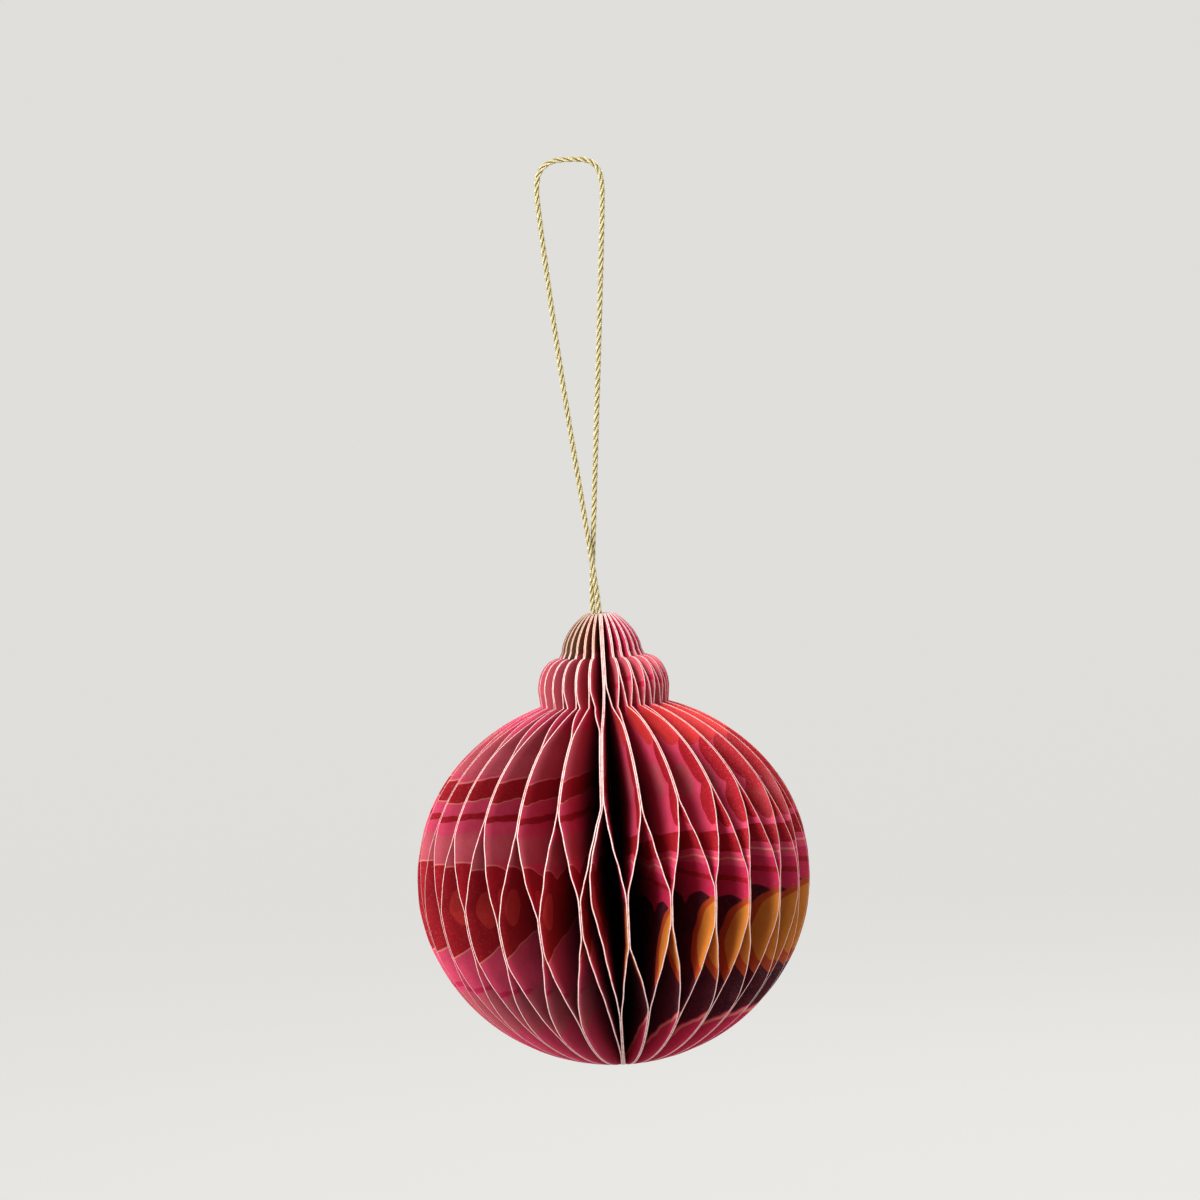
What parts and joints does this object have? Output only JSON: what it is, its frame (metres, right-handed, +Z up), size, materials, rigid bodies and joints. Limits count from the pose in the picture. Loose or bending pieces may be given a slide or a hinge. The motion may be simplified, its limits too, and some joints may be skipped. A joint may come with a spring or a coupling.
{
  "type": "hanging paper ball ornament",
  "caption": "Bauble-shaped hanging ornament of fanned printed card leaves glued in alternating rows, with a twisted gold cord loop.",
  "frame": {"origin": "inside of the top of the cord loop, where the ornament hangs, on the ball's axis", "axes": "+Z up along the ball's axis, -Y towards the front with the seam, +X to the right"},
  "size_m": [0.075, 0.0751, 0.173],
  "materials": {
    "printed_card": "matt printed card with bare pale cut edges",
    "binding_glue": "dried flexible glue, satin",
    "gold_cord": "twisted metallic yarn"
  },
  "bodies": {
    "root": {"leaf_01": "printed_card", "leaf_02": "printed_card", "leaf_03": "printed_card", "leaf_04": "printed_card", "leaf_05": "printed_card", "leaf_06": "printed_card", "leaf_07": "printed_card", "leaf_08": "printed_card", "leaf_09": "printed_card", "leaf_10": "printed_card", "leaf_11": "printed_card", "leaf_12": "printed_card", "leaf_13": "printed_card", "leaf_14": "printed_card", "leaf_15": "printed_card", "leaf_16": "printed_card", "leaf_17": "printed_card", "leaf_18": "printed_card", "leaf_19": "printed_card", "leaf_20": "printed_card", "leaf_21": "printed_card", "leaf_22": "printed_card", "leaf_23": "printed_card", "leaf_24": "printed_card", "leaf_25": "printed_card", "leaf_26": "printed_card", "leaf_27": "printed_card", "leaf_28": "printed_card", "leaf_29": "printed_card", "leaf_30": "printed_card", "leaf_31": "printed_card", "leaf_32": "printed_card", "leaf_33": "printed_card", "leaf_34": "printed_card", "leaf_35": "printed_card", "leaf_36": "printed_card", "leaf_37": "printed_card", "leaf_38": "printed_card", "leaf_39": "printed_card", "leaf_40": "printed_card", "leaf_41": "printed_card", "leaf_42": "printed_card", "leaf_43": "printed_card", "leaf_44": "printed_card", "leaf_45": "printed_card", "leaf_46": "printed_card", "leaf_47": "printed_card", "leaf_48": "printed_card", "leaf_49": "printed_card", "leaf_50": "printed_card", "leaf_51": "printed_card", "leaf_52": "printed_card", "leaf_53": "printed_card", "leaf_54": "printed_card", "leaf_55": "printed_card", "leaf_56": "printed_card", "leaf_57": "printed_card", "spine_binding": "binding_glue", "cord_knot": "gold_cord", "hanging_cord": "gold_cord"}
  },
  "joints": []
}
